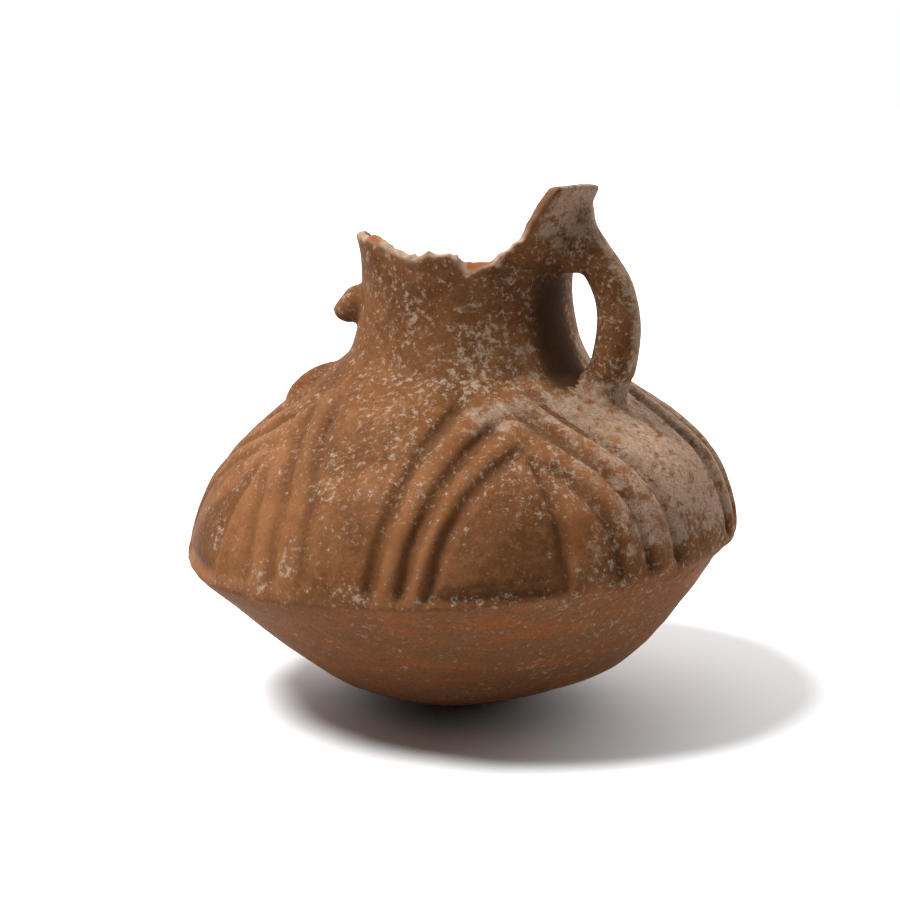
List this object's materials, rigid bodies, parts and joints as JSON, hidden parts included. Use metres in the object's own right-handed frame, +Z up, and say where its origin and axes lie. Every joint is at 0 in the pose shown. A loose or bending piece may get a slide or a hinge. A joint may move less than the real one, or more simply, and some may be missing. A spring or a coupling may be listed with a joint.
{
  "type": "ceramic jug",
  "caption": "Broken, burnished clay jug with a round base, sharp waist, flared neck, round loop handle, broken stub, low lug and carved chevron flutes on the shoulder; holds liquid",
  "frame": {"origin": "middle of the small worn spot under the round base, on the surface that the jug rests on", "axes": "+Z is up; -Y is the side that the picture shows; +X is to its right, where the handle is"},
  "size_m": [0.2116, 0.212, 0.201],
  "materials": {
    "fired_clay": "burnished, worn, speckled with lime"
  },
  "bodies": {
    "root": {"jug": "fired_clay"}
  },
  "joints": []
}
